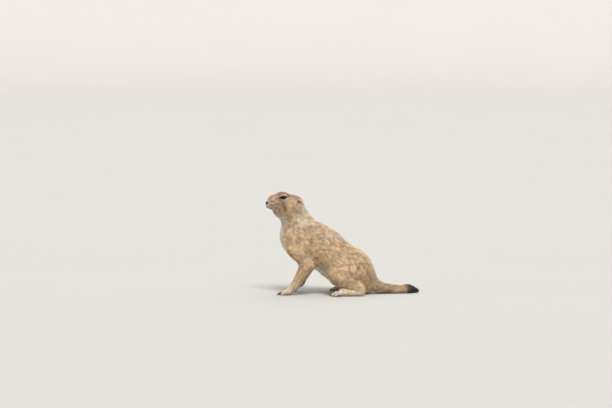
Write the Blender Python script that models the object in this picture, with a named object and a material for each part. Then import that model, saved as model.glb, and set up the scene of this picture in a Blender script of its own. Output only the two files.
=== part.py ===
"""A life-size black-tailed prairie dog, sitting on its haunches with its forefeet on the floor and its
head up and turned a little to its own left.

The flesh, out to the tips of the coat, is a list of masses: balls and tapered limbs, each a real piece of
anatomy. They are welded by a voxel remesh, rounded where they meet, thinned, and parted by thin cuts.

Frame: +Z up, the nose towards -X, the tail towards +X and the animal's left side towards -Y.
Origin: the middle of its footprint, on the floor.
"""

import math

import bmesh
import bpy
import numpy as np
from mathutils import Matrix, Vector

MM = 0.001
GAP = 0.3 * MM

# Driving dimensions, in millimetres, in the plan's own frame: Z is 0 on the floor.
NOSE_TIP = Vector((-31.5, 0.0, 161.6))
HEAD_PIVOT = Vector((14.0, 0.0, 150.0))
HEAD_TURN = math.radians(12)
FORELEG_STAGGER = 4.0
EYE = Vector((29.2, 15.3, 10.5))
EYEBALL_RADIUS = 6.4
LID_RADIUS = 7.8
EYE_OPENING = 12.0, 5.2
EYE_FINENESS = 3
EAR = Vector((56.2, 22.3, 1.2))
EAR_RADII = Vector((4.9, 5.2, 7.6))
EAR_BOWL_RADIUS = 5.4
NOSE_PAD = Vector((1.4, 0.0, 1.6))
NOSE_PAD_RADIUS = 3.4

BODY_VOXEL = 2.2 * MM
HEAD_VOXEL = 1.5 * MM
PAW_VOXEL = 0.85 * MM
BODY_TRIANGLES = 1850
HEAD_TRIANGLES = 1200
PAW_TRIANGLES = 540
FAR = 400 * MM
TRIM_MARGIN = 6 * MM

TURN = Matrix.Rotation(HEAD_TURN, 3, "Z")
SIDES = (-1, "left"), (1, "right")

# The cuts, each a point on the plane and the normal that points away from the nose.
HEAD_CUT = (38, 0, 160), (30, 0, -46)
NECK_CUT = (70, 0, 127), (16, 0, -75)
TAIL_CUT = (163, 0, 18), (1, 0, -0.35)
TAIL_TIP_CUT = (214, 7, 8), (1, 0.2, 0)
WRIST_CUT = (26, 0, 20), (0.35, 0, 1)

COAT = ("buff_coat", (0.50, 0.34, 0.20), 0.9)
PALE_COAT = ("pale_coat", (0.62, 0.50, 0.35), 0.9)
BLACK_COAT = ("black_coat", (0.03, 0.022, 0.018), 0.9)
EYE_GLOSS = ("eye", (0.012, 0.008, 0.006), 0.08)
NOSE_SKIN = ("nose_skin", (0.03, 0.02, 0.018), 0.45)


# ---------------------------------------------------------------- masses of flesh


class Mass:
    """A ball or a tapered limb from a to b, with radii at its ends, stretched along the three axes."""

    def __init__(self, a, b, radius_a, radius_b, stretch=(1, 1, 1), blend=8.0, turned=False):
        self.a = Vector(a) * MM
        self.b = Vector(b) * MM
        self.radii = radius_a * MM, radius_b * MM
        self.stretch = Vector(stretch)
        self.blend = blend * MM
        self.turned = turned

    def distance(self, points):
        """How far each point is outside this mass, in metres, true close to its surface."""
        if self.turned:
            pivot = np.array(HEAD_PIVOT) * MM
            points = (points - pivot) @ np.array(TURN) + pivot
        stretch = np.array(self.stretch)
        start, end = np.array(self.a) / stretch, np.array(self.b) / stretch
        along = end - start
        offset = points / stretch - start
        share = np.clip(offset @ along / max(along @ along, 1e-12), 0, 1)
        away = offset - share[:, None] * along
        length = np.maximum(np.linalg.norm(away, axis=1), 1e-9)
        slope = np.linalg.norm(away / length[:, None] / stretch, axis=1)
        radius = self.radii[0] + share * (self.radii[1] - self.radii[0])
        return (length - radius) / slope

    def add_to(self, mesh):
        """Adds this mass to a bmesh as the convex hull of its two end balls."""
        shape = bmesh.new()
        for centre, radius in zip((self.a, self.b), self.radii):
            place = Matrix.Translation(centre) @ Matrix.Diagonal((*self.stretch, 1))
            bmesh.ops.create_icosphere(shape, subdivisions=3, radius=radius, matrix=place)
        close_hull(shape)
        if self.turned:
            bmesh.ops.rotate(shape, verts=shape.verts[:], cent=HEAD_PIVOT * MM, matrix=TURN)
        data = bpy.data.meshes.new("mass")
        shape.to_mesh(data)
        shape.free()
        mesh.from_mesh(data)
        bpy.data.meshes.remove(data)


def ball(centre, radii, **options):
    """An ellipsoid."""
    return Mass(centre, centre, 1, 1, stretch=radii, **options)


def on_head(back, side, up):
    """A place on the head before it turns, measured from the nose tip."""
    return NOSE_TIP + Vector((back, side, up))


def turned(place):
    """Where a place on the head goes when the head turns."""
    return TURN @ (place - HEAD_PIVOT) + HEAD_PIVOT


def head_masses():
    def skull(place, radii, blend=8.0):
        return ball(on_head(*place), radii, blend=blend, turned=True)

    masses = [
        skull((44, 0, -0.7), (22.5, 23, 16)),
        skull((31, 0, 6), (15, 16.5, 14), blend=5),
        skull((55, 0, -2), (11, 18.5, 12)),
        Mass(on_head(27, 0, 5.4), on_head(14, 0, 4.5), 14, 11.2, (1, 0.9, 1), 6, True),
        skull((6.2, 0, -0.5), (7, 6, 7.2), blend=4),
        skull((5.5, 0, -5.3), (5, 4.6, 3.2), blend=2),
        skull((14.5, 0, -6.3), (9.5, 7.5, 4.6), blend=3),
        skull((32.5, 0, -14.3), (19.3, 15, 12.5)),
    ]
    for side, _ in SIDES:
        masses += [
            skull((12.5, 5.2 * side, -2.8), (8.5, 6.2, 6.2), blend=4),
            skull((37, 13.5 * side, -8.5), (17, 12.5, 14.5)),
            skull((50, 13 * side, -8), (15, 12.5, 14.5)),
            skull((40, 11.5 * side, 5), (14, 8.8, 8.8)),
            skull((19, 7.5 * side, 4.5), (10, 6.5, 8), blend=5),
            skull((EYE.x, EYE.y * side, EYE.z), (LID_RADIUS,) * 3, blend=4),
        ]
    return masses


def neck_masses():
    return [
        Mass((13.4, 0, 147), (23.4, 0, 131), 21.4, 24.9, blend=9),
        Mass((23.4, 0, 131), (36, 0, 100), 24.9, 39, (1, 0.96, 1), 9),
        Mass((16.5, 0, 131), (17, 0, 108), 10.5, 23, blend=12),
        ball((6, 0, 147.5), (12.5, 16, 12), blend=9),
    ]


def chain(stations, **options):
    """Limbs from each station to the next, where a station is (centre, radius)."""
    return [
        Mass(here, there, radius, next_radius, **options)
        for (here, radius), (there, next_radius) in zip(stations, stations[1:])
    ]


def trunk_masses():
    chest, ribs, belly, pelvis = (36, 0, 100), (68.5, 0, 82.2), (98, 0, 58), (124, 0, 39)
    rump = (140, 0, 26)
    return (
        chain([(chest, 39), (ribs, 38.5)], stretch=(1, 0.96, 1), blend=6)
        + chain([(ribs, 38.5), (belly, 36.5)], stretch=(1, 1.04, 1), blend=6)
        + chain([(belly, 36.5), (pelvis, 38.5), (rump, 28)], stretch=(1, 1.1, 1), blend=6)
    )


def foreleg_masses(side):
    step = FORELEG_STAGGER * side
    scapula, point_of_shoulder = (44 + step, 25 * side, 104), (28 + step, 27 * side, 82)
    elbow, wrist = (47 + step, 31 * side, 55), (26 + step, 26 * side, 18)
    return [
        Mass(scapula, point_of_shoulder, 15, 17, (1, 0.72, 1), 10),
        Mass(point_of_shoulder, elbow, 14, 12.5, blend=9),
        Mass(elbow, wrist, 12, 7.8, blend=8),
    ]


def forepaw_masses(side):
    step = FORELEG_STAGGER * side
    wrist, palm = (26 + step, 26 * side, 18), (15 + step, 26 * side, 6.2)
    masses = [Mass(wrist, palm, 7.8, 7, (1, 1.1, 0.95), 5)]
    for spread, reach in ((-5.4, 10.0), (-1.9, 12.5), (1.9, 12.0), (5.3, 9.0)):
        knuckle = (12.5 + step, 26 * side + spread, 5.8)
        masses += digit(knuckle, reach, sideways=0.5 * spread, radius=2.6, claw=9.0)
    return masses


def hindleg_masses(side):
    hip, knee, heel = (126, 26 * side, 50), (98, 39 * side, 38), (137, 41 * side, 15)
    return [
        Mass(hip, knee, 28, 20, (1, 0.92, 1), 12),
        Mass((98, 42 * side, 33), heel, 13, 9, blend=8),
    ]


def hindfoot_masses(side):
    heel, ball_of_foot = (138, 41 * side, 6.8), (106, 43 * side, 6.6)
    masses = [Mass(heel, ball_of_foot, 8, 8.2, (1, 1.08, 0.9), 6)]
    for spread, reach in ((-8.0, 9.0), (-4.2, 13.0), (0.0, 14.5), (4.2, 13.0), (7.8, 8.0)):
        knuckle = (102, 43 * side + spread, 5.2)
        masses += digit(knuckle, reach, sideways=0.35 * spread, radius=2.8, claw=6.0)
    return masses


def digit(knuckle, reach, sideways, radius, claw):
    """One toe that arches forward to the floor, and its claw."""
    x, y, z = knuckle
    middle = Vector((x - 0.55 * reach, y + 0.55 * sideways, z + 0.4))
    tip = Vector((x - reach, y + sideways, radius - 0.5))
    claw_root = tip + Vector((0, 0, 0.6))
    claw_tip = Vector((tip.x - 0.9 * claw, tip.y + 0.15 * sideways, 1.0))
    return [
        Mass(knuckle, middle, radius + 0.5, radius, blend=2.2),
        Mass(middle, tip, radius, 0.9 * radius, blend=2),
        Mass(claw_root, claw_tip, 1.7, 0.9, blend=1),
    ]


def tail_masses():
    course = [
        ((150, 0, 24), 14),
        ((172, 1, 11.5), 10.5),
        ((198, 4, 7.2), 8.6),
        ((224, 9, 7.2), 8.8),
        ((238, 12.5, 4.4), 5.4),
    ]
    return chain(course, stretch=(1, 1.35, 0.85), blend=8)


def field(masses, points):
    """The rounded union's distance at each point: a mass flows into the ones before it by its blend."""
    total = masses[0].distance(points)
    for mass in masses[1:]:
        other = mass.distance(points)
        overlap = np.maximum(mass.blend - np.abs(total - other), 0)
        total = np.minimum(total, other) - overlap**2 / (4 * mass.blend)
    return total


# ---------------------------------------------------------------- meshes and cutters


def material(name, colour, roughness):
    found = bpy.data.materials.get(name)
    if found is None:
        found = bpy.data.materials.new(name)
        found.use_nodes = True
        shader = found.node_tree.nodes["Principled BSDF"]
        shader.inputs["Base Color"].default_value = (*colour, 1)
        shader.inputs["Roughness"].default_value = roughness
        found.diffuse_color = (*colour, 1)
    return found


def linked(name, data):
    """A new object in the scene that shows this mesh."""
    made = bpy.data.objects.new(name, data)
    bpy.context.scene.collection.objects.link(made)
    return made


def mesh_data(name, mesh):
    """The mesh of a bmesh, which is freed."""
    data = bpy.data.meshes.new(name)
    mesh.to_mesh(data)
    mesh.free()
    return data


def hidden(obj):
    """Marks an object as a cutter."""
    obj.hide_render = True
    obj.display_type = "WIRE"
    return obj


def close_hull(mesh):
    """Replaces what a bmesh holds with the convex hull of its points."""
    bmesh.ops.delete(mesh, geom=mesh.edges[:] + mesh.faces[:], context="EDGES_FACES")
    bmesh.ops.convex_hull(mesh, input=mesh.verts[:])
    loose = [v for v in mesh.verts if not v.link_faces]
    bmesh.ops.delete(mesh, geom=loose, context="VERTS")
    bmesh.ops.recalc_face_normals(mesh, faces=mesh.faces[:])


def hull(name, balls, grow=0.0, fineness=2):
    """A cutter: the convex hull of some balls, each (centre, radius) in millimetres."""
    mesh = bmesh.new()
    for centre, radius in balls:
        place = Matrix.Translation(Vector(centre) * MM)
        bmesh.ops.create_icosphere(mesh, subdivisions=fineness, radius=radius * MM + grow, matrix=place)
    close_hull(mesh)
    return hidden(linked(name, mesh_data(name, mesh)))


def beyond(name, plane, past=0.0):
    """A cutter: all that lies further along a plane's normal than this far past the plane."""
    point, normal = plane
    direction = Vector(normal).normalized()
    centre = Vector(point) * MM + direction * (FAR + past)
    turn = direction.to_track_quat("Z", "Y").to_matrix().to_4x4()
    mesh = bmesh.new()
    bmesh.ops.create_cube(mesh, size=2 * FAR, matrix=Matrix.Translation(centre) @ turn)
    return hidden(linked(name, mesh_data(name, mesh)))


def inside(cutter):
    return "BOOLEAN", {"operation": "INTERSECT", "solver": "EXACT", "object": cutter}


def outside(cutter):
    return "BOOLEAN", {"operation": "DIFFERENCE", "solver": "EXACT", "object": cutter}


def modified(obj, modifiers):
    """Adds modifiers, each (kind, settings), to an object."""
    for kind, settings in modifiers:
        added = obj.modifiers.new(kind.lower(), kind)
        for key, value in settings.items():
            setattr(added, key, value)
    return obj


def applied(data, *modifiers):
    """The mesh that these modifiers make of a mesh."""
    obj = modified(linked("applied", data), modifiers)
    graph = bpy.context.evaluated_depsgraph_get()
    made = bpy.data.meshes.new_from_object(obj.evaluated_get(graph), depsgraph=graph)
    bpy.data.objects.remove(obj)
    bpy.data.meshes.remove(data)
    return made


def settle(masses, data, rounds=5, step=0.2 * MM):
    """Moves a mesh's points along the field's slope until they lie on the rounded surface."""
    flat = np.empty(len(data.vertices) * 3)
    data.vertices.foreach_get("co", flat)
    points = flat.reshape(-1, 3)
    for _ in range(rounds):
        here = field(masses, points)
        slopes = [(field(masses, points + shift) - here) / step for shift in np.eye(3) * step]
        slope = np.stack(slopes, axis=1)
        steepness = np.maximum((slope**2).sum(axis=1), 0.25)
        points = points - slope * (here / steepness)[:, None]
    data.vertices.foreach_set("co", points.ravel())
    data.update()


def flesh(name, masses, voxel, triangles, trim):
    """One closed mesh of these masses: welded, rounded, trimmed, thinned and cut level at the floor."""
    mesh = bmesh.new()
    for mass in masses:
        mass.add_to(mesh)
    data = applied(mesh_data(name, mesh), ("REMESH", {"mode": "VOXEL", "voxel_size": voxel}))
    for _ in range(2):
        settle(masses, data)
        data = applied(data, ("SMOOTH", {"factor": 0.5, "iterations": 3}))
    settle(masses, data)
    data = applied(data, trim)
    data.calc_loop_triangles()
    thin = "DECIMATE", {"ratio": triangles / len(data.loop_triangles), "use_collapse_triangulate": True}
    floor = beyond(f"floor_{name}", ((0, 0, 0), (0, 0, -1)))
    return applied(data, thin, outside(floor))


def part(name, data, look, *cuts):
    """A node: its own copy of a mesh, with its material and its cuts."""
    made = modified(linked(name, data.copy()), cuts)
    made.data.materials.clear()
    made.data.materials.append(material(*look))
    return made


# ---------------------------------------------------------------- the prairie dog


def build_head(masses):
    trim = outside(beyond("trim_head", HEAD_CUT, past=TRIM_MARGIN))
    data = flesh("head_flesh", masses, HEAD_VOXEL, HEAD_TRIANGLES, trim)
    pad = [(turned(on_head(*NOSE_PAD)), NOSE_PAD_RADIUS)]
    part("nose", data, NOSE_SKIN, inside(hull("in_nose", pad)))
    cuts = [
        outside(beyond("cut_head", HEAD_CUT, past=-GAP / 2)),
        outside(hull("out_nose", pad, grow=GAP)),
    ]
    for side, word in SIDES:
        eye = turned(on_head(EYE.x, EYE.y * side, EYE.z))
        build_eyeball(word, eye)
        cuts.append(outside(hull(f"out_eye_{word}", [(eye, EYEBALL_RADIUS)], GAP, EYE_FINENESS)))
        cuts.append(outside(lid_opening(f"lids_{word}", eye, side)))
        build_ear(word, side, data)
    part("head", data, COAT, *cuts)


def build_eyeball(word, centre):
    mesh = bmesh.new()
    place = Matrix.Translation(centre * MM)
    bmesh.ops.create_icosphere(mesh, subdivisions=EYE_FINENESS, radius=EYEBALL_RADIUS * MM, matrix=place)
    data = mesh_data(f"eye_{word}", mesh)
    data.shade_smooth()
    part(f"eye_{word}", data, EYE_GLOSS)


def lid_opening(name, eye, side):
    """A cutter with an almond-shaped outline, which opens the lids in front of an eye."""
    width, height = EYE_OPENING
    steps = 8
    outward = (TURN @ Vector((-0.32, side, 0.18))).normalized()
    forward = TURN @ Vector((-1, 0, -0.22))
    forward = (forward - outward * forward.dot(outward)).normalized()
    upward = outward.cross(forward) * side
    rim = []
    for lid in (1, -1):
        for step in range(steps):
            share = lid * (2 * step / steps - 1)
            rim.append((share * width / 2, lid * (1 - share * share) * height / 2))
    mesh = bmesh.new()
    for reach in (0.55 * EYEBALL_RADIUS, 2.5 * EYEBALL_RADIUS):
        for along, up in rim:
            mesh.verts.new((eye + outward * reach + forward * along + upward * up) * MM)
    close_hull(mesh)
    return hidden(linked(name, mesh_data(name, mesh)))


def build_ear(word, side, head_data):
    """A low rounded ear with a bowl that opens forwards and outwards, cut where it meets the head."""
    centre = turned(on_head(EAR.x, EAR.y * side, EAR.z))
    lean = TURN @ Matrix.Rotation(math.radians(-24) * side, 3, "Z") @ Matrix.Rotation(math.radians(-10), 3, "Y")
    shell = Matrix.Translation(centre * MM) @ lean.to_4x4() @ Matrix.Diagonal((*EAR_RADII, 1))
    mesh = bmesh.new()
    bmesh.ops.create_uvsphere(mesh, u_segments=14, v_segments=10, radius=MM, matrix=shell)
    bowl = centre + lean @ Vector((-4.2, 3.6 * side, 0.4))
    swollen = modified(
        linked(f"out_head_{word}", head_data.copy()),
        [("DISPLACE", {"strength": GAP, "mid_level": 0})],
    )
    cuts = [outside(hull(f"bowl_{word}", [(bowl, EAR_BOWL_RADIUS)])), outside(hidden(swollen))]
    part(f"ear_{word}", mesh_data(f"ear_{word}", mesh), PALE_COAT, *cuts)


def build_body(masses):
    trim = outside(beyond("trim_body", opposite(HEAD_CUT), past=TRIM_MARGIN))
    data = flesh("body_flesh", masses, BODY_VOXEL, BODY_TRIANGLES, trim)
    limb_rooms = []
    for side, word in SIDES:
        limb_rooms += build_foreleg(word, side, data)
        limb_rooms += build_hindleg(word, side, data)
    behind_head = inside(beyond("cut_neck_top", HEAD_CUT, past=GAP / 2))
    part("neck", data, COAT, behind_head, outside(beyond("cut_neck_base", NECK_CUT, past=-GAP / 2)))
    behind_neck = inside(beyond("cut_trunk", NECK_CUT, past=GAP / 2))
    part("trunk", data, COAT, behind_neck, outside(beyond("cut_rump", TAIL_CUT, past=-GAP / 2)), *limb_rooms)
    behind_rump = inside(beyond("cut_tail", TAIL_CUT, past=GAP / 2))
    part("tail", data, COAT, behind_rump, outside(beyond("cut_tail_end", TAIL_TIP_CUT, past=-GAP / 2)))
    part("tail_tip", data, BLACK_COAT, inside(beyond("cut_tail_tip", TAIL_TIP_CUT, past=GAP / 2)))


def opposite(plane):
    point, normal = plane
    return point, -Vector(normal)


def build_foreleg(word, side, data):
    """Makes a foreleg and its paw, and gives the cuts that make room for them in the trunk."""
    step = FORELEG_STAGGER * side
    reach = [
        ((34 + step, 42 * side, 86), 25),
        ((46 + step, 36 * side, 54), 20),
        ((22 + step, 26 * side, 8), 20),
    ]
    above_wrist = inside(beyond(f"above_wrist_{word}", WRIST_CUT, past=GAP / 2))
    part(f"foreleg_{word}", data, COAT, inside(hull(f"in_foreleg_{word}", reach)), above_wrist)
    masses = foreleg_masses(side) + forepaw_masses(side)
    trim = outside(beyond(f"trim_forepaw_{word}", WRIST_CUT, past=TRIM_MARGIN))
    paw = flesh(f"forepaw_{word}_flesh", masses, PAW_VOXEL, PAW_TRIANGLES, trim)
    below_wrist = outside(beyond(f"below_wrist_{word}", WRIST_CUT, past=-GAP / 2))
    part(f"forepaw_{word}", paw, PALE_COAT, below_wrist)
    return [outside(hull(f"out_foreleg_{word}", reach, grow=GAP))]


def build_hindleg(word, side, data):
    """Makes a hind leg and its foot, and gives the cuts that make room for them in the trunk."""
    thigh = [((126, 47 * side, 52), 33), ((98, 47 * side, 36), 26), ((138, 44 * side, 12), 16)]
    sole = [((139, 42 * side, 5), 11), ((90, 43 * side, 3), 15)]
    sole_room = outside(hull(f"out_hindfoot_{word}", sole, grow=GAP))
    part(f"hindleg_{word}", data, COAT, inside(hull(f"in_hindleg_{word}", thigh)), sole_room)
    masses = hindleg_masses(side) + hindfoot_masses(side)
    trim = inside(hull(f"trim_hindfoot_{word}", sole, grow=TRIM_MARGIN))
    foot = flesh(f"hindfoot_{word}_flesh", masses, PAW_VOXEL, PAW_TRIANGLES, trim)
    part(f"hindfoot_{word}", foot, PALE_COAT, inside(hull(f"in_hindfoot_{word}", sole)))
    return [outside(hull(f"out_hindleg_{word}", thigh, grow=GAP)), sole_room]


def centre_on_footprint():
    """Moves the model so that the middle of its bounding box's base is the origin."""
    graph = bpy.context.evaluated_depsgraph_get()
    nodes = [obj.evaluated_get(graph) for obj in bpy.context.scene.objects if not obj.hide_render]
    corners = [node.matrix_world @ Vector(corner) for node in nodes for corner in node.bound_box]
    low, high = (Vector([pick(c[axis] for c in corners) for axis in range(3)]) for pick in (min, max))
    shift = Vector((-(low.x + high.x) / 2, -(low.y + high.y) / 2, -low.z))
    for obj in bpy.context.scene.objects:
        obj.location += shift


def whole_body():
    """The masses of the head with its neck, and of the whole animal without its toes."""
    head = neck_masses() + head_masses()
    body = head + trunk_masses() + tail_masses()
    for side, _ in SIDES:
        body += foreleg_masses(side) + forepaw_masses(side)[:1]
        body += hindleg_masses(side) + hindfoot_masses(side)[:1]
    return head, body


def main():
    for obj in list(bpy.data.objects):
        bpy.data.objects.remove(obj)
    head, body = whole_body()
    build_head(head)
    build_body(body)
    centre_on_footprint()


main()
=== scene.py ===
"""The looks of a life-size black-tailed prairie dog: one skin from nose to tail, glossy eyes, a leathery
nose, claws and whiskers, and a coat of solid tufts that follows the lie of the hair.

Lengths are millimetres in the plan's own frame, the one part.py draws the animal in: the nose towards -X,
the left side towards -Y and the floor at Z = 0. PLAN_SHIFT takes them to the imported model.
"""

import math
from collections import namedtuple

import bmesh
import bpy
import numpy as np
from mathutils import Matrix, Vector, kdtree


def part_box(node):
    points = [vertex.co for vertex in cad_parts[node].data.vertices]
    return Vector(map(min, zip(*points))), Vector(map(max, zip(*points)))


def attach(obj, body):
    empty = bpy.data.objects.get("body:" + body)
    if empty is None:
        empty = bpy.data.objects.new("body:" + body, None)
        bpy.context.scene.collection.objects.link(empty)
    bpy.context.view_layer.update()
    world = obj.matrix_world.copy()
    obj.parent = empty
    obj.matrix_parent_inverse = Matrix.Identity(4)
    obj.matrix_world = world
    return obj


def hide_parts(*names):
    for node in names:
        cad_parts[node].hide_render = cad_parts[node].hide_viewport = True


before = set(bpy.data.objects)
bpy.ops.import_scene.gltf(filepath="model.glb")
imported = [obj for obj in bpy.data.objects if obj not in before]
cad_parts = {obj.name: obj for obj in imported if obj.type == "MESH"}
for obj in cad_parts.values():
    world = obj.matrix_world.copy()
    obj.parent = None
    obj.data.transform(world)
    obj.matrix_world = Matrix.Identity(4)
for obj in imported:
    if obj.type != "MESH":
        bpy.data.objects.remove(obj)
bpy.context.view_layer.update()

MM = 0.001
FAR = 1000.0
RANDOM = np.random.default_rng(17)
SIDES = (-1, "left"), (1, "right")


def lengths(rows):
    return np.linalg.norm(rows, axis=1)


def unit(vectors):
    """Vectors, or rows of them, at length 1."""
    vectors = np.asarray(vectors, float)
    return vectors / np.maximum(np.linalg.norm(vectors, axis=-1, keepdims=True), 1e-9)


def smooth(low, high, values):
    """0 up to low, 1 from high on, with a soft step between. Low may be the higher one."""
    share = np.clip((values - low) / (high - low), 0, 1)
    return share * share * (3 - 2 * share)


def hump(values, width):
    """1 where the values are 0, fading on both sides over this width."""
    return np.exp(-((values / width) ** 2))


def along_surface(vectors, normals):
    """What is left of vectors without their part along the normals."""
    return vectors - normals * (vectors * normals).sum(axis=1, keepdims=True)


# ---------------- the plan, as part.py has it

NOSE_TIP = np.array((-31.5, 0.0, 161.6))
HEAD_PIVOT = np.array((14.0, 0.0, 150.0))
TURN = np.array(Matrix.Rotation(math.radians(12), 3, "Z"))
FORELEG_STAGGER = 4.0
EYE = np.array((29.2, 15.3, 10.5))
EYEBALL_RADIUS = 6.4
LID_RADIUS = 7.8
EYE_LENGTH, EYE_HEIGHT = 12.0, 5.8
EAR = np.array((56.2, 22.3, 1.2))
EAR_RADII = np.array((4.9, 5.2, 7.6))
EAR_SPIN, EAR_TILT = math.radians(-24), math.radians(-10)
EAR_BOWL = np.array((-4.2, 3.6, 0.4))
EAR_BOWL_RADIUS = 5.4
EAR_RIM = 1.0
NOSE_PAD = np.array((2.2, 0.0, 1.2))
NOSE_PAD_RADII = np.array((3.9, 4.3, 2.8))
HEAD_CUT = np.array((38.0, 0.0, 160.0)), unit((30.0, 0.0, -46.0))
TAIL_TIP = np.array((214.0, 7.0, 8.0)), unit((1.0, 0.2, 0.0))


def on_head(back, side, up):
    """A place on the head before it turns, measured from the nose tip."""
    return NOSE_TIP + (back, side, up)


def turned(places):
    """Where places on the head go when the head turns."""
    return (places - HEAD_PIVOT) @ TURN.T + HEAD_PIVOT


def unturned(points):
    return (points - HEAD_PIVOT) @ TURN + HEAD_PIVOT


def from_nose(points):
    """The points as the head's own measures: back from the nose tip, sideways and up."""
    return unturned(points) - NOSE_TIP


PLAN_SHIFT = np.array(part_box("eye_left")).mean(axis=0) / MM - turned(NOSE_TIP + EYE * (1, -1, 1))
HAIR_SOURCE = turned(on_head(-4, 0, -1))

# Each kind of fur: the coat's depth over the skin, its tufts' length, width and number per square
# millimetre, and the spacing of the locks that they gather in.
Fur = namedtuple("Fur", "depth length width density lock")
FUR = {
    "muzzle": Fur(1.1, 2.8, 0.26, 10.0, 1.6),
    "lid": Fur(0.9, 2.0, 0.22, 11.0, 1.4),
    "crown": Fur(1.7, 5.0, 0.32, 8.0, 2.3),
    "cheek": Fur(2.0, 6.0, 0.34, 7.6, 2.7),
    "ear": Fur(0.4, 1.5, 0.2, 11.0, 1.3),
    "throat": Fur(2.6, 7.5, 0.42, 4.8, 3.4),
    "neck": Fur(3.4, 9.5, 0.48, 4.2, 3.9),
    "trunk": Fur(4.0, 11.0, 0.6, 1.95, 4.6),
    "shoulder": Fur(3.6, 10.0, 0.58, 2.4, 4.4),
    "arm": Fur(2.8, 8.0, 0.54, 2.6, 4.0),
    "forearm": Fur(1.5, 5.0, 0.42, 3.6, 2.8),
    "thigh": Fur(3.8, 10.5, 0.62, 1.9, 4.6),
    "shank": Fur(2.4, 7.0, 0.52, 2.4, 3.6),
    "paw": Fur(0.8, 2.6, 0.34, 4.4, 1.9),
    "toe": Fur(0.45, 1.7, 0.28, 4.8, 1.4),
    "tail": Fur(3.8, 13.0, 0.62, 2.4, 4.6),
}
NEAR_MARGIN = 16.0


class Mass:
    """A ball or a tapered limb of flesh, out to the tips of its fur, and the way its hair lies."""

    def __init__(self, a, b, radius_a, radius_b, fur, stretch=(1, 1, 1), blend=8.0, lie=None, under=None):
        self.a, self.b = np.array(a, float), np.array(b, float)
        self.radii = radius_a, radius_b
        self.fur = fur
        self.stretch = np.array(stretch, float)
        self.blend = blend
        self.turned = False
        self.lie = unit(self.b - self.a if lie is None else lie)
        self.under = unit((self.lie[2], 0, -self.lie[0]) if under is None else under)

    def distance(self, points):
        """How far each point is outside this mass, true close to its surface."""
        if self.turned:
            points = unturned(points)
        start, end = self.a / self.stretch, self.b / self.stretch
        along = end - start
        offset = points / self.stretch - start
        share = np.clip(offset @ along / max(along @ along, 1e-12), 0, 1)
        away = offset - share[:, None] * along
        length = np.maximum(lengths(away), 1e-9)
        slope = lengths(away / length[:, None] / self.stretch)
        radius = self.radii[0] + share * (self.radii[1] - self.radii[0])
        return (length - radius) / slope

    def near(self, points):
        """Which points are close enough to matter to this mass."""
        start, end = (turned(self.a), turned(self.b)) if self.turned else (self.a, self.b)
        reach = max(self.radii) * self.stretch.max() + NEAR_MARGIN
        low, high = np.minimum(start, end) - reach, np.maximum(start, end) + reach
        return ((points > low) & (points < high)).all(axis=1)

    def hair_lie(self, points):
        if self.turned:
            return unit(points - HAIR_SOURCE) + self.lie
        return np.broadcast_to(self.lie, points.shape)

    def add_to(self, mesh):
        """Adds the skin of this mass to a bmesh, as the convex hull of its two end balls."""
        shape = bmesh.new()
        for centre, radius in zip((self.a, self.b), self.radii):
            size = radius - FUR[self.fur].depth / self.stretch.mean()
            place = Matrix.Translation(centre) @ Matrix.Diagonal((*self.stretch, 1))
            bmesh.ops.create_icosphere(shape, subdivisions=4, radius=size, matrix=place)
        close_hull(shape)
        if self.turned:
            bmesh.ops.rotate(shape, verts=shape.verts[:], cent=HEAD_PIVOT, matrix=Matrix(TURN))
        data = finished(shape, "mass")
        mesh.from_mesh(data)
        bpy.data.meshes.remove(data)


class Ear(Mass):
    """A low rounded ear: an ellipsoid with a bowl that opens forwards and outwards."""

    def __init__(self, side):
        centre = turned(NOSE_TIP + EAR * (1, side, 1))
        super().__init__(centre, centre, 1, 1, "ear", stretch=EAR_RADII, blend=2.5, lie=(0.35, 0, 1))
        spin = Matrix.Rotation(EAR_SPIN * side, 3, "Z") @ Matrix.Rotation(EAR_TILT, 3, "Y")
        self.lean = TURN @ np.array(spin)
        self.bowl = centre + self.lean @ (EAR_BOWL * (1, side, 1))

    def shell_distance(self, points):
        return super().distance((points - self.a) @ self.lean + self.a)

    def bowl_distance(self, points):
        """How far each point is outside the bowl."""
        return lengths(points - self.bowl) - EAR_BOWL_RADIUS

    def distance(self, points):
        shell, hollow = self.shell_distance(points), -self.bowl_distance(points)
        overlap = np.maximum(EAR_RIM - np.abs(shell - hollow), 0)
        return np.maximum(shell, hollow) + overlap**2 / (4 * EAR_RIM)


def ball(centre, radii, fur, **options):
    """An ellipsoid."""
    return Mass(centre, centre, 1, 1, fur, stretch=radii, **options)


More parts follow.
